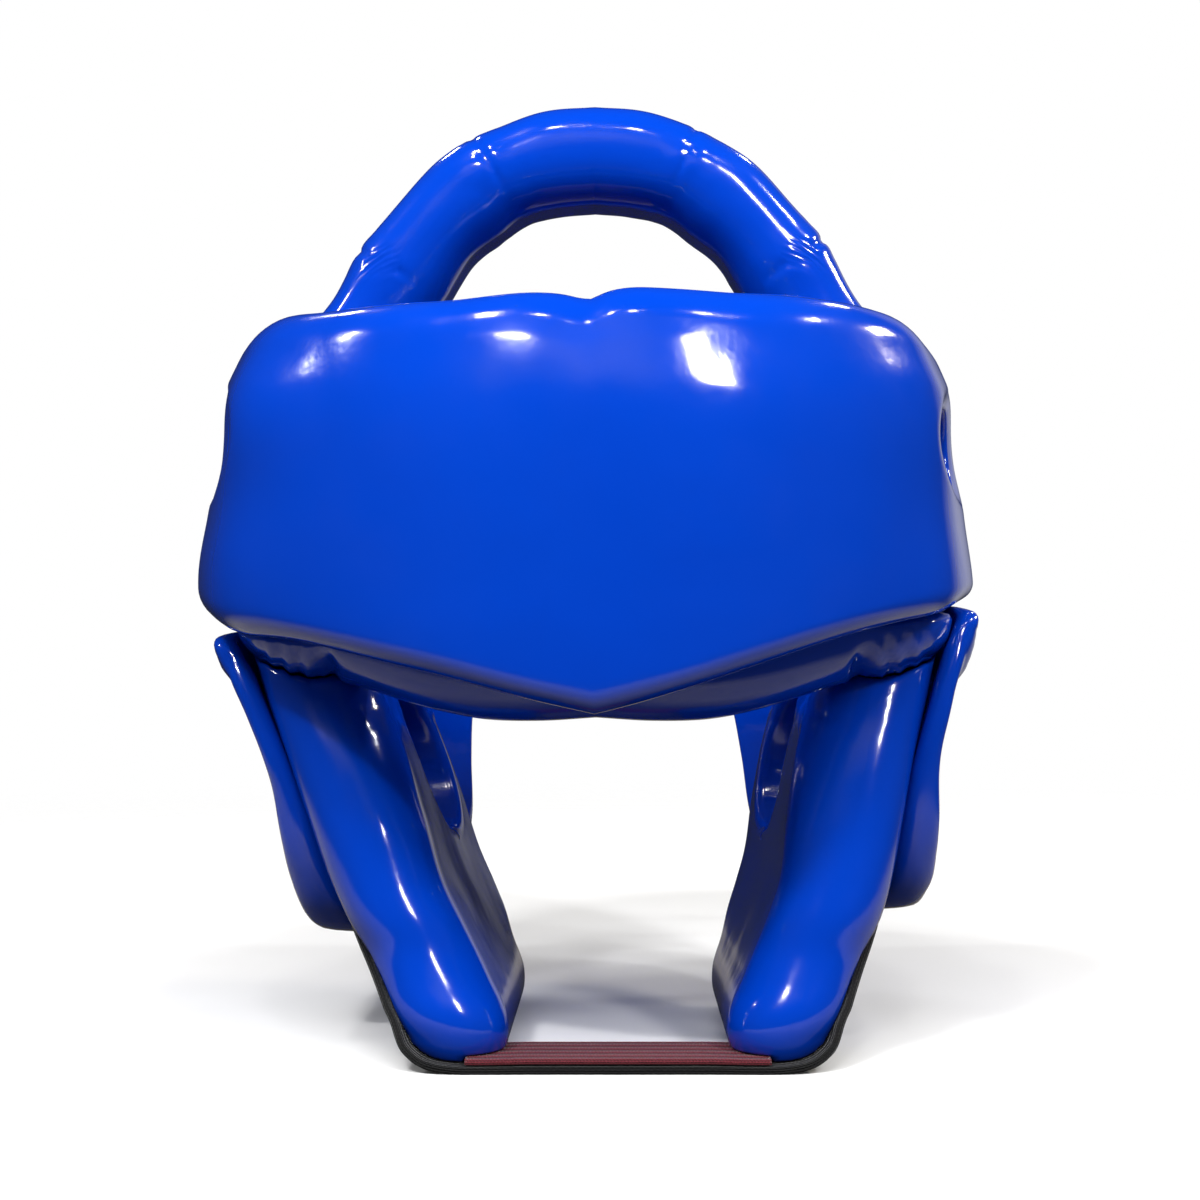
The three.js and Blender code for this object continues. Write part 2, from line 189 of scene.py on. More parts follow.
def ring_places(corner_steps, long_steps, short_steps):
    """Places on a rounded rectangle: the corner, the turn at it and the share of the next side."""
    places = []
    for corner in range(4):
        side_steps = long_steps if corner % 2 else short_steps
        for step in range(corner_steps + 1):
            places.append((corner, (corner + step / corner_steps) * math.pi / 2, 0))
        for step in range(1, side_steps):
            places.append((corner, (corner + 1) * math.pi / 2, step / side_steps))
    return places


def ring_point(place, half_width, half_height, radius, low_radius):
    """One place on a rounded rectangle as (across, up)."""
    corner, turn, along = place
    limit = 0.98 * min(half_width, half_height)
    ends = []
    for right, up in (CORNERS[corner], CORNERS[(corner + 1) % 4]):
        round_by = min(radius if up > 0 else low_radius, limit)
        across = right * (half_width - round_by) + round_by * math.cos(turn)
        height = up * (half_height - round_by) + round_by * math.sin(turn)
        ends.append(Vector((across, height)))
    return ends[0].lerp(ends[1], along)


def stations_between(start, end, steps, start_round, end_round, cap_steps=5):
    """Stations (place, inset) along a piece, each end drawn in over its rounding length."""
    stations = []
    for step in range(cap_steps):
        turn = math.pi / 2 * (1 - step / cap_steps)
        stations.append((start + start_round * (1 - math.sin(turn)), 1 - math.cos(turn)))
    for step in range(steps + 1):
        share = step / steps
        first = start + start_round
        last = end - end_round
        stations.append((first + (last - first) * share, 0))
    for step in range(1, cap_steps + 1):
        turn = math.pi / 2 * step / cap_steps
        stations.append((end - end_round * (1 - math.sin(turn)), 1 - math.cos(turn)))
    return stations


def loft(stations, places, point_at):
    """A closed skin through a ring of places at each station; point_at gives millimetres."""
    bm = bmesh.new()
    last = len(stations) - 1
    count = len(places)
    bm.loops.layers.uv.new("UVMap")
    bmesh.ops.create_grid(bm, x_segments=last, y_segments=count, size=0.5, calc_uvs=True)
    for vert in bm.verts:
        station = stations[round((vert.co.x + 0.5) * last)]
        place = places[round((vert.co.y + 0.5) * count) % count]
        vert.co = point_at(station, place)
    bmesh.ops.remove_doubles(bm, verts=bm.verts, dist=0.0001)
    rims = [edge for edge in bm.edges if edge.is_boundary]
    bmesh.ops.holes_fill(bm, edges=rims)
    caps = [face for face in bm.faces if len(face.verts) > 4]
    bmesh.ops.poke(bm, faces=caps)
    bmesh.ops.recalc_face_normals(bm, faces=bm.faces)
    return bm


def punch(bm, centre, axis, half_sizes, reach, lip, lip_steps=5):
    """An oval hole with rounded lips through both skins, along axis and within reach of centre."""
    axis = axis.normalized()
    side = axis.cross(Vector((0, 0, 1))).normalized()
    skin = BVHTree.FromBMesh(bm)

    def local(co):
        away = co - centre
        return away.dot(side), away.z, away.dot(axis)

    def share(co, grow):
        across, up, along = local(co)
        return math.hypot(across / (half_sizes[0] + grow), up / (half_sizes[1] + grow)), along

    gone = []
    for face in bm.faces:
        found = [share(vert.co, lip) for vert in face.verts]
        if all(size < 1.04 and abs(along) < reach for size, along in found):
            gone.append(face)
    bmesh.ops.delete(bm, geom=gone, context="FACES")
    rim = [edge for edge in bm.edges if edge.is_boundary]
    for vert in {vert for edge in rim for vert in edge.verts}:
        across, up, along = local(vert.co)
        size = share(vert.co, lip)[0]
        on_oval = centre + side * (across / size) + Vector((0, 0, up / size)) + axis * along
        sign = 1 if along > 0 else -1
        hit = skin.ray_cast(on_oval + axis * sign * 15, -axis * sign)[0]
        vert.co = hit if hit else on_oval
    loops = []
    for sign in (1, -1):
        edges = [edge for edge in rim if local(edge.verts[0].co)[2] * sign > 0]
        grow = lip
        depth = 0
        for step in range(1, lip_steps + 1):
            turn = math.pi / 2 * step / lip_steps
            next_grow = lip * (1 - math.sin(turn))
            next_depth = lip * (1 - math.cos(turn))
            made = bmesh.ops.extrude_edge_only(bm, edges=edges)["geom"]
            edges = [item for item in made if isinstance(item, bmesh.types.BMEdge) and item.is_boundary]
            for vert in [item for item in made if isinstance(item, bmesh.types.BMVert)]:
                across, up, along = local(vert.co)
                across *= (half_sizes[0] + next_grow) / (half_sizes[0] + grow)
                up *= (half_sizes[1] + next_grow) / (half_sizes[1] + grow)
                along -= sign * (next_depth - depth)
                vert.co = centre + side * across + Vector((0, 0, up)) + axis * along
            grow = next_grow
            depth = next_depth
        loops.extend(edges)
    bmesh.ops.bridge_loops(bm, edges=loops)
    bmesh.ops.recalc_face_normals(bm, faces=bm.faces)


def carve(bm, relief):
    """Moves each point along its normal by relief(point, normal), in millimetres."""
    bm.normal_update()
    moves = [vert.normal * relief(vert.co, vert.normal) for vert in bm.verts]
    for vert, move in zip(bm.verts, moves):
        vert.co += move


def outward(point, normal):
    """How far a surface faces away from the head's axis, from -1 to 1."""
    away = Vector((point.x, point.y - HEAD_Y, 0))
    return normal.dot(away.normalized())


def finish_piece(bm, name, node, material):
    """Leans and scales a skin, makes it an object of the frame and gives it its finish."""
    for vert in bm.verts:
        vert.co.x += LEAN.at("x", vert.co.z)
    bmesh.ops.scale(bm, vec=(MM, MM, MM), verts=bm.verts)
    for face in bm.faces:
        face.smooth = True
    mesh = bpy.data.meshes.new(name)
    bm.to_mesh(mesh)
    bm.free()
    mesh.materials.append(material)
    piece = bpy.data.objects.new(name, mesh)
    bpy.context.scene.collection.objects.link(piece)
    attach(piece, "root")
    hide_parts(node)
    return piece


def length(name, description, default):
    """A length property, its default given in millimetres."""
    return FloatProperty(name=name, description=description, default=default * MM, min=0, unit="LENGTH")


def colour(name, description, default):
    """A colour property."""
    return FloatVectorProperty(
        name=name, description=description, default=default, size=3, min=0, max=1, subtype="COLOR")


class HeadGuardSizes(bpy.types.PropertyGroup):
    """Sizes of the guard's folds, holes and swellings."""

    fold_depth: length("Fold depth", "Depth of the two soft folds down the forehead pad", 0.6)
    pinch_depth: length("Pinch depth", "Depth of the pinch at the top of the forehead pad", 1.0)
    vent_radius: length("Vent radius", "Radius of the two round vents", 12.5)
    dish_depth: length("Dish depth", "How far the pad sinks round each vent", 6.8)
    rib_depth: length("Rib depth", "Depth of the upright ribs on the band at the temples", 1.1)
    notch_depth: length("Notch depth", "Depth of the notch where band and cheek meet", 3.0)
    crease_depth: length("Crease depth", "Depth of the arch's fold creases", 0.7)
    wrinkle_depth: length("Wrinkle depth", "Depth of the small wrinkles in the dipped skin", 0.35)
    bulb_swell: length("Bulb swell", "Swelling of the lower end of each cheek", 1.4)
    ear_hole_width: length("Ear hole width", "Half width of each ear hole", 24)
    ear_hole_height: length("Ear hole height", "Half height of each ear hole", 23)
    strap_width: length("Strap width", "Width of the elastic strap", 26)
    strap_thick: length("Strap thickness", "Thickness of the elastic strap", 2.4)
    lining_thick: length("Lining thickness", "Thickness of the strap's inner face", 1.6)


class HeadGuardColours(bpy.types.PropertyGroup):
    """Colours of the guard's finishes and of the floor."""

    vinyl: colour("Vinyl", "Glossy dipped vinyl", (0.0, 0.046, 0.49))
    vinyl_deep: colour("Deep vinyl", "The vinyl where the dip is thicker", (0.0, 0.039, 0.44))
    elastic: colour("Elastic", "Black woven elastic", (0.010, 0.010, 0.011))
    lining: colour("Lining", "Maroon inner face of the strap", (0.17, 0.014, 0.026))
    floor: colour("Floor", "Pale studio floor", (0.86, 0.86, 0.86))


def sizes_in_mm(context):
    """The user's sizes in the tables' millimetres."""
    group = context.scene.head_guard_sizes
    return {name: getattr(group, name) / MM for name in HeadGuardSizes.__annotations__}


def pad_lift(degrees):
    """How far the forehead pad's lower edge rises above its V, more on the wearer's left."""
    return 5.2 * ease(0, 35, degrees) + ease(5, 20, -degrees) + 2.6 * ease(45, 75, -degrees)


def pad_faces(degrees):
    """Edges and faces of the forehead pad at an angle: low, high, outer, inner."""
    angle = abs(degrees)
    thick = PAD.at("thick", angle)
    reach = abs(shell_point(degrees, BROW_MIDDLE_Z, thick).x)
    tuck = PAD.at("tuck", angle)
    sway = 1.3 * math.sin(math.radians(min(max(degrees * 3.2, -180), 180)))
    low = BROW_TIP_Z + BROW_SLOPE * reach + tuck + pad_lift(degrees)
    return low, PAD.at("high", angle) - tuck + sway, thick, PAD_SEAM


def band_faces(degrees):
    """Edges and faces of the brow band at an angle."""
    return BAND.at("low", abs(degrees)), BAND.at("high", abs(degrees)), 0, -SHELL_THICK


def back_faces(degrees):
    """Edges and faces of the back pad at an angle."""
    angle = abs(degrees - 180)
    return BACK.at("low", angle), BACK.at("high", angle), 0, -BACK.at("thick", angle)


def wall_point(place, inset, faces, radius, low_radius):
    """A place on a padded wall round the head, drawn in by inset at the wall's ends."""
    low, high, outer, inner = faces
    half_thick = (outer - inner) / 2
    half_high = (high - low) / 2
    round_by = max(radius - inset, 0.5)
    low_round = max(low_radius - inset, 0.5)
    point = ring_point(place, half_thick - inset, half_high - inset, round_by, low_round)
    return (low + high) / 2 + point.y, half_thick + point.x


def wall_gap(point, faces_at, radius):
    """Clear distance from a point to a padded wall, negative inside it."""
    degrees = angle_of(point)
    low, high, outer, inner = faces_at(degrees)
    outset = math.hypot(point.x, point.y - HEAD_Y) - shell_radius(degrees, point.z)
    half_thick = (outer - inner) / 2
    round_by = min(radius, 0.98 * half_thick)
    across = abs(outset - (outer + inner) / 2) - half_thick + round_by
    up = abs(point.z - (low + high) / 2) - (high - low) / 2 + round_by
    return math.hypot(max(across, 0), max(up, 0)) + min(max(across, up), 0) - round_by


def vent_axis(side):
    """The direction of a vent, straight out from the head's axis."""
    turn = math.radians(side * VENT_ANGLE)
    return Vector((math.sin(turn), -math.cos(turn), 0))


def vent_offset(point, side):
    """A point's place on a vent's dish, which reaches further ahead than up, and how far ahead it lies."""
    away = point - Vector((0, HEAD_Y, VENT_Z))
    axis = vent_axis(side)
    across = away - axis * away.dot(axis)
    ahead = -across.y
    level = math.hypot(across.x, across.y) * (1 - 0.38 * ease(-14, 14, ahead))
    return math.hypot(level, 1.5 * across.z), ahead


def build_forehead_pad(sizes):
    """The thick front pad with its V edge, pinch, folds and dished vents."""
    def point_at(station, place):
        degrees, inset = station
        faces = pad_faces(degrees)
        z, depth = wall_point(place, inset * SEAM_ROUND, faces, PAD_TOP_RADIUS, PAD_LOW_RADIUS)
        return shell_point(degrees, z, faces[3] + depth * PAD_FACE.at("share", z))

    def relief(point, normal):
        x, _, z = point
        facing = ease(-0.1, 0.5, outward(point, normal) + max(normal.z, 0))
        left = x + 38 - 0.14 * (210 - z)
        right = x - 39 + 0.3 * (214 - z)
        fold = sum(0.15 * hump(away, 5) + 0.85 * hump(away, 16) for away in (left, right))
        fold *= sizes["fold_depth"] * ease(168, 204, z)
        pinch = 0.5 * sizes["pinch_depth"] * (hump(x + 3, 4) + hump(x + 5, 9)) * ease(200, 215, z)
        lobe = 0.5 * hump(x - 10, 8) * ease(205, 217, z) + 4.2 * hump(x + 118, 26) * hump(z - 138, 26)
        lobe += 4.5 * ease(72, 102, -x) * hump(z - 189, 22)
        lobe -= ease(72, 102, x) * (2.2 * hump(z - 158, 22) + 1.5 * ease(196, 212, z))
        line = 209.5 - 3 * hump(x + 3, 8)
        rim = 0.3 * hump(z - line, 2) * (1 - ease(26, 42, abs(x + 3)))
        lobe += 1.4 * hump(abs(angle_of(point)) - 50, 8)
        dish = 0
        for side in SIDES.values():
            away, ahead = vent_offset(point, side)
            if point.x * side > 0 and away < 30:
                dish = sizes["dish_depth"] * (1 - ease(sizes["vent_radius"] - 2, 29, away))
                dish *= 0.6 + 0.7 * ease(-12, 12, ahead)
        return facing * (lobe - fold - pinch - rim - dish)

    round_by = SEAM_ROUND / 2
    stations = stations_between(-PAD_END, PAD_END, 210, round_by, round_by)
    bm = loft(stations, ring_places(10, 52, 4), point_at)
    carve(bm, relief)
    for side in SIDES.values():
        centre = shell_point(side * VENT_ANGLE, VENT_Z, PAD_VENT_OUTSET)
        punch(bm, centre, vent_axis(side), (sizes["vent_radius"],) * 2, 16, PAD_VENT_LIP)
    return bm


def temple_swell(degrees):
    """How far the band's lower roll swells out at the temples."""
    angle = abs(degrees)
    return TEMPLE_SWELL * ease(40, 54, angle) * (1 - ease(60, 70, angle))


def build_brow_band(sizes):
    """The inner band, its lower roll ribbed at the temples and notched at the cheeks."""
    def point_at(station, place):
        degrees, inset = station
        faces = band_faces(degrees)
        z, depth = wall_point(place, inset * SEAM_ROUND, faces, WALL_RADIUS, WALL_RADIUS)
        edge = pad_faces(degrees)[0]
        swell = temple_swell(degrees) * (1 - ease(edge - 3, edge - 0.8, z)) * ease(8, 20, depth)
        return shell_point(degrees, z, faces[3] + depth + swell)

    def relief(point, normal):
        reach = abs(point.x)
        low = band_faces(angle_of(point))[0]
        in_front = 1 - ease(0, 20, point.y + 10)
        roll = (1 - ease(low + 12, low + 22, point.z)) * ease(-0.5, 0.3, outward(point, normal)) * in_front
        comb = 0.5 + 0.5 * math.cos((reach - 82 + 0.2 * (point.z - low)) * math.tau / 6)
        ribs = sizes["rib_depth"] * comb * ease(79, 83, reach) * (1 - ease(96, 102, reach))
        notch = sizes["notch_depth"] * hump(reach - 78, 2.4) * (1 - ease(low + 4, low + 13, point.z))
        return -roll * (ribs + notch)

    round_by = SEAM_ROUND / 2
    stations = stations_between(-BAND_END + 0.1, BAND_END - 0.1, 250, round_by, round_by)
    bm = loft(stations, ring_places(12, 46, 3), point_at)
    carve(bm, relief)
    for side in SIDES.values():
        centre = shell_point(side * VENT_ANGLE, VENT_Z, -SHELL_THICK / 2)
        punch(bm, centre, vent_axis(side), (sizes["vent_radius"],) * 2, 24, BAND_VENT_LIP)
    return bm


def build_back_pad(sizes):
    """The plain rear wall with its neck notch."""
    def point_at(station, place):
        degrees, inset = station
        faces = back_faces(degrees)
        z, depth = wall_point(place, inset * SEAM_ROUND, faces, WALL_RADIUS, WALL_RADIUS)
        return shell_point(degrees, z, faces[3] + depth)

    def relief(point, normal):
        swell = 1.2 * hump(point.z - 143, 30) * hump(point.x, 55) * ease(0.2, 0.9, outward(point, normal))
        wave = noise.noise(point * 0.03)
        return swell + 0.6 * sizes["wrinkle_depth"] * wave * ease(-0.2, 0.6, outward(point, normal))

    round_by = SEAM_ROUND / 2
    stations = stations_between(BAND_END + 0.1, 360 - BAND_END - 0.1, 260, round_by, round_by)
    bm = loft(stations, ring_places(11, 30, 3), point_at)
    carve(bm, relief)
    return bm


def arch_middle(station):
    """The arch's middle line and thickness; station runs from -9 to 9 over the crown."""
    row = ARCH_LAST - min(abs(station), ARCH_LAST)
    x = math.copysign(ARCH.at("x", row), station)
    return Vector((x, ARCH_Y, ARCH.at("z", row))), ARCH.at("thick", row)


def arch_along(station):
    """The direction of the arch's middle line."""
    after = arch_middle(station + 0.1)[0]
    return (after - arch_middle(station - 0.1)[0]).normalized()


ARCH_CREASES = ((-5.15, 1.0), (-2.35, 0.8), (1.85, 0.65), (4.85, 1.2), (-7.1, 0.5), (6.9, 0.5))


def build_crown_arch(sizes):
    """The round bar over the crown, creased where the foam folds, its feet seated on the band."""
    places = ring_places(11, 6, 3)

    def bar_point(station, place):
        middle, thick = arch_middle(station)
        along = arch_along(station)
        point = ring_point(place, thick / 2, ARCH_WIDTH / 2, ARCH_RADIUS, ARCH_RADIUS)
        return middle + Vector((-along.z * point.x, point.y, along.x * point.x))

    def clear(point):
        over_band = wall_gap(point, band_faces, WALL_RADIUS)
        return min(over_band, wall_gap(point, pad_faces, PAD_TOP_RADIUS)) > SEAM

    feet = {}
    for place in places:
        for end in (-1, 1):
            row = 0
            while row < 3 and not clear(bar_point(end * (ARCH_LAST - row), place)):
                row += 0.05
            feet[place, end] = ARCH_LAST - row

    def point_at(station, place):
        share = station[0]
        reach = feet[place, 1 if share > 0 else -1]
        return bar_point(share * reach, place)

    creases = [(arch_middle(at)[0], arch_along(at), weight) for at, weight in ARCH_CREASES]

    def relief(point, normal):
        centre = Vector((0, ARCH_Y, 190))
        inward = normal.dot((centre - point).normalized())
        moved = 0
        for middle, along, weight in creases:
            away = point - middle
            if away.length < 40:
                bend = 0.8 * noise.noise(point * 0.09) + 0.06 * away.y
                offset = away.dot(along) + bend
                groove = hump(offset, 1.3) - 1.1 * hump(offset, 9)
                moved -= sizes["crease_depth"] * weight * groove * ease(-0.5, 0.5, -inward)
                moved += 0.8 * sizes["wrinkle_depth"] * hump(offset, 9) * noise.noise(point * 0.22)
        return moved

    stations = [(step / 150 - 1, 0) for step in range(301)]
    bm = loft(stations, places, point_at)
    carve(bm, relief)
    return bm


SEAM_SLOPE = math.tan(math.radians(BAND_END - 90))
STRAP_SEARCH = [step * 0.1 for step in range(91)]


def strap_frame(station):
    """The strap's middle line at a station, with its directions along, across and up to the jaw."""
    def middle(at):
        x = math.copysign(STRAP.at("x", abs(at)), at)
        return Vector((x, FRONT_Y + STRAP.at("depth", abs(at)), STRAP.at("z", abs(at))))
    along = (middle(station + 0.1) - middle(station - 0.1)).normalized()
    across = (Vector((0, 1, 0)) - along * along.y).normalized()
    return middle(station), along, across, along.cross(across)


def nearest_frame(frames, co):
    """The strap frame that lies level with a point."""
    def distance(item):
        away = co - item[1]
        return abs(away.dot(item[2])) + 0.2 * away.length
    return min(frames, key=distance)


def clear_strap(bm, side, sizes, outside):
    """Moves the points of a piece off the strap: inwards, or outwards for a piece outside it."""
    frames = [(at, *strap_frame(side * at)) for at in STRAP_SEARCH]
    half_width = sizes["strap_width"] / 2
    for vert in bm.verts:
        if vert.co.z > STRAP_TOP_Z:
            continue
        at, middle, _, across, up = nearest_frame(frames, vert.co)
        away = vert.co - middle
        height = away.dot(up)
        weight = 1 - ease(half_width + 0.5, half_width + 4, abs(away.dot(across)))
        room = sizes["strap_thick"] / 2 + SEAM
        if at < LINING_REACH + 0.1 and not outside:
            room += sizes["lining_thick"] + SEAM
        if not outside and -14 < height < room:
            vert.co += up * (room - height) * weight
        if outside and -room < height < 8 and at < STRAP_REACH + 0.3:
            vert.co -= up * (room + height) * weight


def cheek_section(side, z, place, inset):
    """A place on a cheek's level section, its rear drawn in to the seam with the back pad."""
    front = FRONT_Y + CHEEK.at("front", z)
    rear = FRONT_Y + CHEEK.at("rear", z)
    names = ("inner_front", "outer_front", "inner_rear", "outer_rear")
    inner_front, outer_front, inner_rear, outer_rear = (CHEEK.at(name, z) for name in names)
    half_depth = (rear - front) / 2
    half_thick = (outer_front - inner_front + outer_rear - inner_rear) / 4
    seam_y = HEAD_Y + SEAM_SLOPE * (inner_rear + outer_rear) / 2
    rear_round = CHEEK_RADIUS + (SEAM_ROUND - CHEEK_RADIUS) * ease(0, 12, rear - seam_y)
    rounds = (max(rear_round - inset, 0.5), max(CHEEK_FRONT_RADIUS - inset, 0.5))
    point = ring_point(place, half_thick - inset, half_depth - inset, *rounds)
    share = (point.y + half_depth) / (2 * half_depth)
    inner = inner_front + (inner_rear - inner_front) * share
    outer = outer_front + (outer_rear - outer_front) * share
    x = (inner + outer) / 2 + point.x * (outer - inner) / (2 * half_thick)
    limit = HEAD_Y + SEAM_SLOPE * x - SEAM
    y = front + half_depth + point.y
    if point.y > 0 and limit < rear:
        y = front + half_depth + point.y * (limit - front - half_depth) / half_depth
    return Vector((side * x, y, z))


def build_cheek(side, sizes):
    """A jaw wall that fits the band's underside, with a bulbous lower end and an ear hole."""
    band = build_brow_band(sizes)
    over = BVHTree.FromBMesh(band)
    band.free()

    def top_at(point):
        degrees = angle_of(point)
        ceiling = min(band_faces(degrees)[0] + 9, pad_faces(degrees)[0] - 2)
        hit = over.ray_cast(Vector((point.x, point.y, 60)), Vector((0, 0, 1)))[0]
        return min(hit.z, ceiling) - 2 * SEAM if hit else ceiling - 2 * SEAM

    tops = {}

    def point_at(station, place):
        share, inset = station
        if (place, inset) not in tops:
            z = 112
            for _ in range(4):
                z = top_at(cheek_section(side, z, place, inset))
            tops[place, inset] = z
        return cheek_section(side, share * tops[place, inset], place, inset)

    def relief(point, normal):
        ahead = ease(-0.2, 0.8, -normal.y)
        bulb = sizes["bulb_swell"] * hump(point.z - 16, 9) * (0.3 + 0.7 * ahead)
        waist = 0.8 * hump(point.z - 34, 7) * ahead
        inner_side = ease(-0.3, 0.4, -normal.x * side)
        crinkle = noise.noise(Vector((point.x, point.y, 1.8 * point.z)) * 0.13)
        crinkle *= 1.6 * sizes["wrinkle_depth"] * ease(88, 100, point.z) * max(0.4 * ahead, inner_side)
        dents = 0.6 * sizes["wrinkle_depth"] * noise.noise(point * 0.04) * ease(4, 14, point.z)
        return (bulb - waist) * ease(1, 8, point.z) + crinkle + dents

    body = [((step / 120) ** 1.4 * 0.985, 0) for step in range(121)]
    top = [(0.993, 0.3), (1, 1.2), (1, 4), (1, 8), (1, 12), (1, 15), (1, 17)]
    bm = loft(body + top, ring_places(11, 40, 8), point_at)
    carve(bm, relief)
    clear_strap(bm, side, sizes, outside=False)
    centre = Vector((side * EAR_X, EAR_Y, EAR_Z))
    punch(bm, centre, Vector((side, 0, 0)), (sizes["ear_hole_width"], sizes["ear_hole_height"]), 32, EAR_LIP)
    return bm


def side_wall(y, z):
    """How far out the cheek or the band reaches at a place on the guard's side."""
    front = FRONT_Y + CHEEK.at("front", z)
    rear = FRONT_Y + CHEEK.at("rear", z)
    share = min(max((y - front) / (rear - front), 0), 1)
    cheek = CHEEK.at("outer_front", z) + (CHEEK.at("outer_rear", z) - CHEEK.at("outer_front", z)) * share
    along = min(abs(y - HEAD_Y) / SHELL.at("half_length", z), 1)
    shell = SHELL.at("half_width", z) * (1 - along ** PLAN_POWER) ** (1 / PLAN_POWER)
    shell += temple_swell(angle_of(Vector((shell, y, z))))
    return cheek + (max(shell, cheek) - cheek) * ease(104, 114, z)


# Each guard's rise at its low and its high end, and how far its outer face is drawn in
GUARD_SHIFTS = {1: (5, 5, 0), -1: (-2, -2.8, 1.8)}


def build_ear_guard(side, sizes):
    """A raised pad that lies over an ear hole, with small wrinkles in its skin."""
    low_shift, high_shift, outer_inset = GUARD_SHIFTS[side]

    def point_at(station, place):
        z, inset = station
        front = FRONT_Y + GUARD.at("front", z)
        rear = FRONT_Y + GUARD.at("rear", z)
        outer = GUARD.at("outer", z) - outer_inset
        z += low_shift + (high_shift - low_shift) * (z - GUARD_LOW) / (GUARD_HIGH - GUARD_LOW)
        half_depth = (rear - front) / 2 - inset * 3
        middle_y = (front + rear) / 2
        base = side_wall(middle_y, z) + SEAM
        half_thick = max((outer - base) / 2, 2) * (1 - 0.5 * inset)
        point = ring_point(place, half_thick, half_depth, GUARD_RADIUS, GUARD_RADIUS)
        y = middle_y + point.y
        x = side_wall(y, z) + SEAM + half_thick + point.x
        return Vector((side * x, y, z))

    def relief(point, normal):
        facing = ease(0.1, 0.7, normal.x * side)
        wrinkle = noise.noise(Vector((point.x, point.y, 0.5 * point.z)) * 0.12)
        return facing * (1.1 * sizes["wrinkle_depth"] * wrinkle + 0.6 * noise.noise(point * 0.035))

    stations = stations_between(GUARD_LOW, GUARD_HIGH, 90, 2, 2)
    bm = loft(stations, ring_places(9, 44, 3), point_at)
    carve(bm, relief)
    clear_strap(bm, side, sizes, outside=True)
    return bm


def build_strip(reach, low, high, width, steps):
    """A flat strip along the strap's middle line, between two heights above that line."""
    def point_at(station, place):
        middle, _, across, up = strap_frame(station[0])
        point = ring_point(place, (high - low) / 2, width / 2, 0.7, 0.7)
        return middle + up * ((low + high) / 2 + point.x) + across * point.y

    stations = [(reach * (2 * step / steps - 1), 0) for step in range(steps + 1)]
    return loft(stations, ring_places(3, 16, 2), point_at)


def add_node(tree, kind, values=None, **settings):
    """A node with its settings and the values of its unlinked inputs."""
    node = tree.nodes.new(kind)
    for name, value in settings.items():
        setattr(node, name, value)
    for name, value in (values or {}).items():
        node.inputs[name].default_value = value
    return node


def wire(tree, *routes):
    """Links a tree's nodes, each route a node, its output, the next node and its input."""
    for source, output, target, socket in routes:
        tree.links.new(source.outputs[output], target.inputs[socket])


def new_group(name, inputs, outputs):
    """An empty shader node group with named sockets, its input and output nodes."""
    tree = bpy.data.node_groups.new(name, "ShaderNodeTree")
    for socket, kind in inputs:
        tree.interface.new_socket(socket, in_out="INPUT", socket_type=kind)
    for socket, kind in outputs:
        tree.interface.new_socket(socket, in_out="OUTPUT", socket_type=kind)
    return tree, tree.nodes.new("NodeGroupInput"), tree.nodes.new("NodeGroupOutput")


def dip_film_group():
    """The dip's uneven film: patches of deeper colour, uneven gloss and a faint orange peel."""
    name = "dip_film"
    if name in bpy.data.node_groups:
        return bpy.data.node_groups[name]
    inputs = (("Place", "NodeSocketVector"), ("Colour", "NodeSocketColor"),
              ("Deep Colour", "NodeSocketColor"), ("Gloss", "NodeSocketFloat"), ("Dull", "NodeSocketFloat"))
    outputs = (("Colour", "NodeSocketColor"), ("Roughness", "NodeSocketFloat"), ("Height", "NodeSocketFloat"))
    tree, source, result = new_group(name, inputs, outputs)
    patches = add_node(tree, "ShaderNodeTexNoise", {"Scale": 16, "Detail": 2, "Roughness": 0.5})
    film = add_node(tree, "ShaderNodeMix", data_type="RGBA")
    gloss = add_node(tree, "ShaderNodeTexNoise", {"Scale": 55, "Detail": 3, "Roughness": 0.6})
    uneven = add_node(tree, "ShaderNodeMapRange", {"From Min": 0.3, "From Max": 0.7})
    waves = add_node(tree, "ShaderNodeTexNoise", {"Scale": 70, "Detail": 1, "Roughness": 0.4})
    peel = add_node(tree, "ShaderNodeTexNoise", {"Scale": 420, "Detail": 1, "Roughness": 0.4})
    height = add_node(tree, "ShaderNodeMath", {1: 0.12}, operation="MULTIPLY_ADD")
    for texture in (patches, gloss, waves, peel):
        wire(tree, (source, "Place", texture, "Vector"))
    wire(
        tree,
        (patches, "Fac", film, "Factor"),
        (source, "Colour", film, "A"),
        (source, "Deep Colour", film, "B"),
        (gloss, "Fac", uneven, "Value"),
        (source, "Gloss", uneven, "To Min"),
        (source, "Dull", uneven, "To Max"),
        (peel, "Fac", height, 0),
        (waves, "Fac", height, 2),
        (film, "Result", result, "Colour"),
        (uneven, "Result", result, "Roughness"),
        (height, "Value", result, "Height"),
    )
    return tree


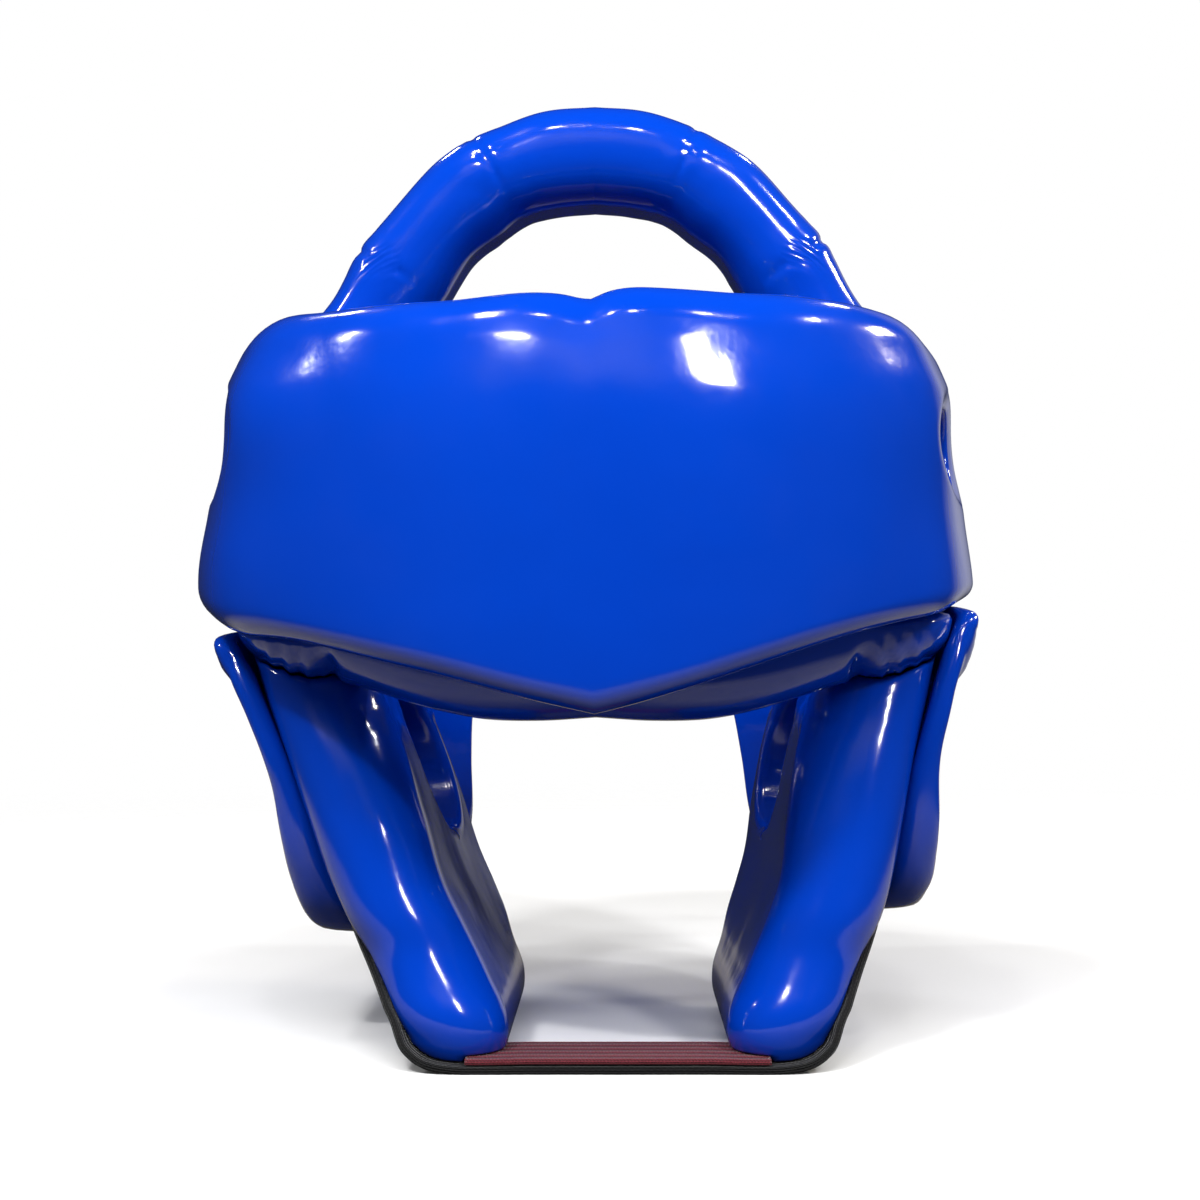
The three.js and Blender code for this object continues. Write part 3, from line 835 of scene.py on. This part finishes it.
def ribbed_weave_group():
    """Ribs along a strip crossed by fine picks, from the strip's own UV map."""
    name = "ribbed_weave"
    if name in bpy.data.node_groups:
        return bpy.data.node_groups[name]
    inputs = (("Place", "NodeSocketVector"), ("Yarn", "NodeSocketColor"), ("Shadow", "NodeSocketColor"),
              ("Ribs", "NodeSocketFloat"), ("Picks", "NodeSocketFloat"))
    outputs = (("Colour", "NodeSocketColor"), ("Height", "NodeSocketFloat"))
    tree, source, result = new_group(name, inputs, outputs)
    split = add_node(tree, "ShaderNodeSeparateXYZ")
    turns = []
    for socket, axis in (("Ribs", "Y"), ("Picks", "X")):
        count = add_node(tree, "ShaderNodeMath", operation="MULTIPLY")
        angle = add_node(tree, "ShaderNodeMath", {1: math.tau}, operation="MULTIPLY")
        wire(
            tree,
            (split, axis, count, 0),
            (source, socket, count, 1),
            (count, "Value", angle, 0),
        )
        turns.append((count, angle))
    rib = add_node(tree, "ShaderNodeMath", operation="COSINE")
    flip = add_node(tree, "ShaderNodeMath", operation="ROUND")
    half = add_node(tree, "ShaderNodeMath", {1: math.pi}, operation="MULTIPLY_ADD")
    pick = add_node(tree, "ShaderNodeMath", operation="COSINE")
    both = add_node(tree, "ShaderNodeMath", {1: 0.45}, operation="MULTIPLY_ADD")
    height = add_node(tree, "ShaderNodeMapRange", {"From Min": -1.3, "From Max": 1.3})
    fuzz = add_node(tree, "ShaderNodeTexNoise", {"Scale": 60, "Detail": 3})
    rough = add_node(tree, "ShaderNodeMath", {1: 0.5}, operation="MULTIPLY_ADD")
    yarn = add_node(tree, "ShaderNodeMix", data_type="RGBA")
    wire(
        tree,
        (source, "Place", split, "Vector"),
        (source, "Place", fuzz, "Vector"),
        (turns[0][1], "Value", rib, 0),
        (turns[0][0], "Value", flip, 0),
        (flip, "Value", half, 0),
        (turns[1][1], "Value", half, 2),
        (half, "Value", pick, 0),
        (pick, "Value", both, 0),
        (rib, "Value", both, 2),
        (both, "Value", height, "Value"),
        (fuzz, "Fac", rough, 0),
        (height, "Result", rough, 2),
        (height, "Result", yarn, "Factor"),
        (source, "Shadow", yarn, "A"),
        (source, "Yarn", yarn, "B"),
        (yarn, "Result", result, "Colour"),
        (rough, "Value", result, "Height"),
    )
    return tree


def new_finish(name, group, place, values, bump, shader_values):
    """A material whose effect group feeds a Principled shader's colour, gloss and normal."""
    finish = bpy.data.materials.new(name)
    finish.use_nodes = True
    tree = finish.node_tree
    shader = tree.nodes["Principled BSDF"]
    for socket, value in shader_values.items():
        shader.inputs[socket].default_value = value
    where = add_node(tree, "ShaderNodeTexCoord")
    effect = add_node(tree, "ShaderNodeGroup", node_tree=group)
    for socket, value in values.items():
        effect.inputs[socket].default_value = value
    relief = add_node(tree, "ShaderNodeBump", {"Strength": bump[0], "Distance": bump[1]})
    wire(
        tree,
        (where, place, effect, "Place"),
        (effect, "Colour", shader, "Base Color"),
    )
    if "Roughness" in effect.outputs:
        wire(tree, (effect, "Roughness", shader, "Roughness"))
    wire(
        tree,
        (effect, "Height", relief, "Height"),
        (relief, "Normal", shader, "Normal"),
    )
    return finish


def opaque(values):
    """A colour property as a socket's four numbers."""
    return (*values, 1)


def vinyl_finish(colours):
    """Glossy dipped vinyl."""
    if "dipped_vinyl" in bpy.data.materials:
        return bpy.data.materials["dipped_vinyl"]
    values = {"Colour": opaque(colours.vinyl), "Deep Colour": opaque(colours.vinyl_deep),
              "Gloss": 0.09, "Dull": 0.17}
    shader = {"IOR": 1.5, "Coat Weight": 0.35, "Coat Roughness": 0.045, "Coat IOR": 1.5}
    return new_finish("dipped_vinyl", dip_film_group(), "Object", values, (0.25, 0.0008), shader)


def elastic_finish(colours):
    """Black woven elastic."""
    shadow = [0.35 * part for part in colours.elastic]
    values = {"Yarn": opaque(colours.elastic), "Shadow": opaque(shadow), "Ribs": 34, "Picks": 210}
    shader = {"Roughness": 0.75, "Sheen Weight": 0.15, "Sheen Roughness": 0.4, "Specular IOR Level": 0.25}
    return new_finish("woven_elastic", ribbed_weave_group(), "UV", values, (0.8, 0.0005), shader)


def lining_finish(colours):
    """Maroon ribbed inner face of the elastic."""
    shadow = [0.25 * part for part in colours.lining]
    values = {"Yarn": opaque(colours.lining), "Shadow": opaque(shadow), "Ribs": 15, "Picks": 90}
    shader = {"Roughness": 0.7, "Sheen Weight": 0.25, "Sheen Roughness": 0.4, "Specular IOR Level": 0.3}
    return new_finish("ribbed_lining", ribbed_weave_group(), "UV", values, (0.8, 0.0006), shader)


def add_foam(context, node, bm):
    """Gives a foam skin its vinyl and sets it in its node's place."""
    vinyl = vinyl_finish(context.scene.head_guard_colours)
    finish_piece(bm, f"{node}_skin", node, vinyl)


class HEADGUARD_OT_forehead_pad(bpy.types.Operator):
    """Builds the forehead pad"""

    bl_idname = "head_guard.forehead_pad"
    bl_label = "Forehead Pad"

    def execute(self, context):
        add_foam(context, "forehead_pad", build_forehead_pad(sizes_in_mm(context)))
        return {"FINISHED"}


class HEADGUARD_OT_brow_band(bpy.types.Operator):
    """Builds the brow band behind the forehead pad"""

    bl_idname = "head_guard.brow_band"
    bl_label = "Brow Band"

    def execute(self, context):
        add_foam(context, "brow_band", build_brow_band(sizes_in_mm(context)))
        return {"FINISHED"}


class HEADGUARD_OT_crown_arch(bpy.types.Operator):
    """Builds the creased bar over the crown"""

    bl_idname = "head_guard.crown_arch"
    bl_label = "Crown Arch"

    def execute(self, context):
        add_foam(context, "crown_arch", build_crown_arch(sizes_in_mm(context)))
        return {"FINISHED"}


class HEADGUARD_OT_back_pad(bpy.types.Operator):
    """Builds the rear wall with its neck notch"""

    bl_idname = "head_guard.back_pad"
    bl_label = "Back Pad"

    def execute(self, context):
        add_foam(context, "back_pad", build_back_pad(sizes_in_mm(context)))
        return {"FINISHED"}


class HEADGUARD_OT_cheeks(bpy.types.Operator):
    """Builds the two jaw walls with their ear holes"""

    bl_idname = "head_guard.cheeks"
    bl_label = "Cheeks"

    def execute(self, context):
        for name, side in SIDES.items():
            add_foam(context, f"cheek_{name}", build_cheek(side, sizes_in_mm(context)))
        return {"FINISHED"}


class HEADGUARD_OT_ear_guards(bpy.types.Operator):
    """Builds the two raised pads over the ear holes"""

    bl_idname = "head_guard.ear_guards"
    bl_label = "Ear Guards"

    def execute(self, context):
        for name, side in SIDES.items():
            add_foam(context, f"ear_guard_{name}", build_ear_guard(side, sizes_in_mm(context)))
        return {"FINISHED"}


class HEADGUARD_OT_chin_strap(bpy.types.Operator):
    """Builds the elastic strap and its maroon inner face"""

    bl_idname = "head_guard.chin_strap"
    bl_label = "Chin Strap"

    def execute(self, context):
        sizes = sizes_in_mm(context)
        colours = context.scene.head_guard_colours
        half = sizes["strap_thick"] / 2
        width = sizes["strap_width"]
        strap = build_strip(STRAP_REACH, -half, half, width, 220)
        finish_piece(strap, "chin_strap_webbing", "chin_strap", elastic_finish(colours))
        low = half + SEAM
        lining = build_strip(LINING_REACH, low, low + sizes["lining_thick"], width, 60)
        finish_piece(lining, "strap_lining_face", "strap_lining", lining_finish(colours))
        return {"FINISHED"}


LAMP_TARGET = Vector((0.0, -0.02, 0.15))
CAMERA_PLACE = Vector((0.008, -0.730, 0.137))
CAMERA_LENS = 67.67  # millimetres
SENSOR_WIDTH = 36
FLOOR_RADIUS = 2
FRAME_PIXELS = 1200
FRAME_SHIFT = (-20, -10)  # pixels that the frame's middle lies off the lens's axis

# Name, degrees right of the camera, degrees up, metres away, width, height, watts and any tint
LAMPS = (
    ("key_left", -27, 46, 2.2, 0.30, 0.08, 18),
    ("key_right", 35, 37, 2.2, 0.18, 0.50, 20),
    ("side_left", -92, 36, 1.8, 0.03, 0.25, 5),
    ("rim_right", 118, 30, 1.8, 0.3, 0.15, 8, (1, 0.92, 0.78)),
    ("spot_left", -64, 66, 2.0, 0.12, 0.10, 5),
    ("spot_right", 92, 46, 2.0, 0.12, 0.12, 6),
    ("ceiling_far_left", -55, 62, 2.2, 0.12, 0.12, 3.5),
    ("ceiling_left", -18, 66, 2.2, 0.12, 0.12, 3.5),
    ("ceiling_right", 14, 62, 2.2, 0.12, 0.12, 3.5),
    ("ceiling_far_right", 52, 60, 2.2, 0.12, 0.12, 3.5),
    ("back_left", -150, 40, 2.2, 0.12, 0.12, 2.5),
    ("back_right", 150, 40, 2.2, 0.12, 0.12, 2.5),
)
FILL = ("fill_front", -8, 43, 0.95, 0.7, 0.35, 7.2)


def add_lamp(name, turn, rise, distance, width, height, watts, tint=(1, 1, 1)):
    """A rectangular soft box that faces the guard from a direction."""
    turn = math.radians(turn)
    rise = math.radians(rise)
    away = Vector((math.sin(turn) * math.cos(rise), -math.cos(turn) * math.cos(rise), math.sin(rise)))
    data = bpy.data.lights.new(name, "AREA")
    data.shape = "RECTANGLE"
    data.size = width
    data.size_y = height
    data.energy = watts
    data.color = tint
    lamp = bpy.data.objects.new(name, data)
    lamp.location = LAMP_TARGET + away * distance
    lamp.rotation_euler = away.to_track_quat("Z", "Y").to_euler()
    bpy.context.scene.collection.objects.link(lamp)
    return lamp


def floor_finish(tint):
    """A pale matt floor that fades into the backdrop, dark for bounced light, and darker in reflections but
    for a ring near the guard: there it shows painted shadow under the guard and a painted pool of light round
    it.
    """
    finish = bpy.data.materials.new("pale_floor")
    finish.use_nodes = True
    tree = finish.node_tree
    shader = tree.nodes["Principled BSDF"]
    shader.inputs["Base Color"].default_value = opaque(tint)
    shader.inputs["Roughness"].default_value = 0.9
    shader.inputs["Specular IOR Level"].default_value = 0.1
    where = add_node(tree, "ShaderNodeTexCoord")
    far = add_node(tree, "ShaderNodeVectorMath", operation="LENGTH")
    fade = add_node(tree, "ShaderNodeMapRange", {"From Min": 0.3, "From Max": 0.9})
    fade.interpolation_type = "SMOOTHSTEP"
    clear = add_node(tree, "ShaderNodeBsdfTransparent")
    mix = add_node(tree, "ShaderNodeMixShader")
    cast = add_node(tree, "ShaderNodeMix", data_type="RGBA")
    # Painted shade: light bounced off the floor is dark, so the guard's undersides stay shaded.
    cast.inputs["A"].default_value = (0.08, 0.078, 0.075, 1)
    # Painted reflection of the floor: a dark middle as painted shadow under the guard, a pale ring as a
    # painted pool of light round it, dark beyond.
    ring = add_node(tree, "ShaderNodeValToRGB")
    painted_shadow_and_light = ring.color_ramp.elements
    painted_shadow_and_light[0].position = 0.11
    painted_shadow_and_light[0].color = (0.09, 0.085, 0.075, 1)
    painted_shadow_and_light[1].position = 0.5
    painted_shadow_and_light[1].color = (0.03, 0.03, 0.03, 1)
    for place in (0.16, 0.32):
        painted_shadow_and_light.new(place).color = (0.3, 0.28, 0.24, 1)
    bounce = add_node(tree, "ShaderNodeBsdfDiffuse")
    ray = add_node(tree, "ShaderNodeLightPath")
    seen = add_node(tree, "ShaderNodeMixShader")
    wire(
        tree,
        (where, "Object", far, 0),
        (far, "Value", fade, "Value"),
        (fade, "Result", mix, "Fac"),
        (ray, "Is Camera Ray", seen, "Fac"),
        (far, "Value", ring, "Fac"),
        (ring, "Color", cast, "B"),
        (ray, "Is Glossy Ray", cast, "Factor"),
        (cast, "Result", bounce, "Color"),
        (bounce, "BSDF", seen, 1),
        (shader, "BSDF", seen, 2),
        (seen, "Shader", mix, 1),
        (clear, "BSDF", mix, 2),
        (mix, "Shader", tree.nodes["Material Output"], "Surface"),
    )
    return finish


def set_backdrop():
    """A white backdrop for the camera, a dark room for reflections and a soft side light otherwise.

    The room has one pale place behind the guard's right side as the camera sees it.
    """
    world = bpy.data.worlds.new("studio")
    world.use_nodes = True
    tree = world.node_tree
    room = tree.nodes["Background"]
    room.inputs["Strength"].default_value = 1
    ray = add_node(tree, "ShaderNodeLightPath")
    where = add_node(tree, "ShaderNodeTexCoord")
    split = add_node(tree, "ShaderNodeSeparateXYZ")
    aside = add_node(tree, "ShaderNodeMath", operation="ABSOLUTE")
    right = add_node(tree, "ShaderNodeMapRange", {"From Min": 0.2, "From Max": 0.42})
    rear = add_node(tree, "ShaderNodeMapRange", {"From Min": 0.7, "From Max": 0.93})
    behind = add_node(tree, "ShaderNodeMath", operation="MULTIPLY")
    walls = add_node(tree, "ShaderNodeMix", data_type="RGBA")
    walls.inputs["A"].default_value = (0.022, 0.024, 0.026, 1)
    walls.inputs["B"].default_value = (0.6, 0.59, 0.56, 1)
    sides = add_node(tree, "ShaderNodeMapRange", {"From Min": 0.3, "From Max": 0.9})
    sides.inputs["To Min"].default_value = 0.09
    sides.inputs["To Max"].default_value = 0.42
    light = add_node(tree, "ShaderNodeMix", data_type="RGBA")
    seen = add_node(tree, "ShaderNodeMix", data_type="RGBA")
    seen.inputs["B"].default_value = (1, 1, 1, 1)
    wire(
        tree,
        (where, "Generated", split, "Vector"),
        (split, "X", aside, 0),
        (split, "X", right, "Value"),
        (split, "Y", rear, "Value"),
        (right, "Result", behind, 0),
        (rear, "Result", behind, 1),
        (behind, "Value", walls, "Factor"),
        (aside, "Value", sides, "Value"),
        (sides, "Result", light, "A"),
        (walls, "Result", light, "B"),
        (ray, "Is Glossy Ray", light, "Factor"),
        (light, "Result", seen, "A"),
        (ray, "Is Camera Ray", seen, "Factor"),
        (seen, "Result", room, "Color"),
    )
    bpy.context.scene.world = world


class HEADGUARD_OT_stage(bpy.types.Operator):
    """Sets the floor, the soft light and the camera"""

    bl_idname = "head_guard.stage"
    bl_label = "Stage"

    def execute(self, context):
        scene = context.scene
        bm = bmesh.new()
        bmesh.ops.create_circle(bm, cap_ends=True, radius=FLOOR_RADIUS, segments=96)
        mesh = bpy.data.meshes.new("floor")
        bm.to_mesh(mesh)
        bm.free()
        mesh.materials.append(floor_finish(scene.head_guard_colours.floor))
        floor = bpy.data.objects.new("floor", mesh)
        scene.collection.objects.link(floor)
        for lamp in LAMPS:
            add_lamp(*lamp)
        add_lamp(*FILL).visible_glossy = False
        set_backdrop()
        data = bpy.data.cameras.new("photo_camera")
        data.lens = CAMERA_LENS
        data.sensor_width = SENSOR_WIDTH
        data.shift_x = FRAME_SHIFT[0] / FRAME_PIXELS
        data.shift_y = FRAME_SHIFT[1] / FRAME_PIXELS
        data.clip_start = 0.01
        camera = bpy.data.objects.new("photo_camera", data)
        camera.location = CAMERA_PLACE
        camera.rotation_euler = (math.pi / 2, 0, 0)
        scene.collection.objects.link(camera)
        scene.camera = camera
        scene.view_settings.view_transform = "Standard"
        return {"FINISHED"}


STEPS = ("stage", "forehead_pad", "brow_band", "crown_arch", "back_pad", "cheeks", "ear_guards", "chin_strap")


class HEADGUARD_PT_panel(bpy.types.Panel):
    """Lists the guard's steps with its sizes and colours"""

    bl_idname = "HEADGUARD_PT_panel"
    bl_label = "Head Guard"
    bl_space_type = "VIEW_3D"
    bl_region_type = "UI"
    bl_category = "Head Guard"

    def draw(self, context):
        layout = self.layout
        for group, source in (
            (HeadGuardSizes, context.scene.head_guard_sizes),
            (HeadGuardColours, context.scene.head_guard_colours),
        ):
            box = layout.box()
            for name in group.__annotations__:
                box.prop(source, name)
        for step in STEPS:
            layout.operator(f"head_guard.{step}")


CLASSES = (
    HeadGuardSizes,
    HeadGuardColours,
    HEADGUARD_OT_stage,
    HEADGUARD_OT_forehead_pad,
    HEADGUARD_OT_brow_band,
    HEADGUARD_OT_crown_arch,
    HEADGUARD_OT_back_pad,
    HEADGUARD_OT_cheeks,
    HEADGUARD_OT_ear_guards,
    HEADGUARD_OT_chin_strap,
    HEADGUARD_PT_panel,
)


def register():
    for item in CLASSES:
        bpy.utils.register_class(item)
    bpy.types.Scene.head_guard_sizes = PointerProperty(type=HeadGuardSizes)
    bpy.types.Scene.head_guard_colours = PointerProperty(type=HeadGuardColours)


def unregister():
    del bpy.types.Scene.head_guard_colours
    del bpy.types.Scene.head_guard_sizes
    for item in reversed(CLASSES):
        bpy.utils.unregister_class(item)


def main():
    """Builds every piece in order."""
    register()
    for step in STEPS:
        getattr(bpy.ops.head_guard, step)()


if __name__ == "__main__":
    main()
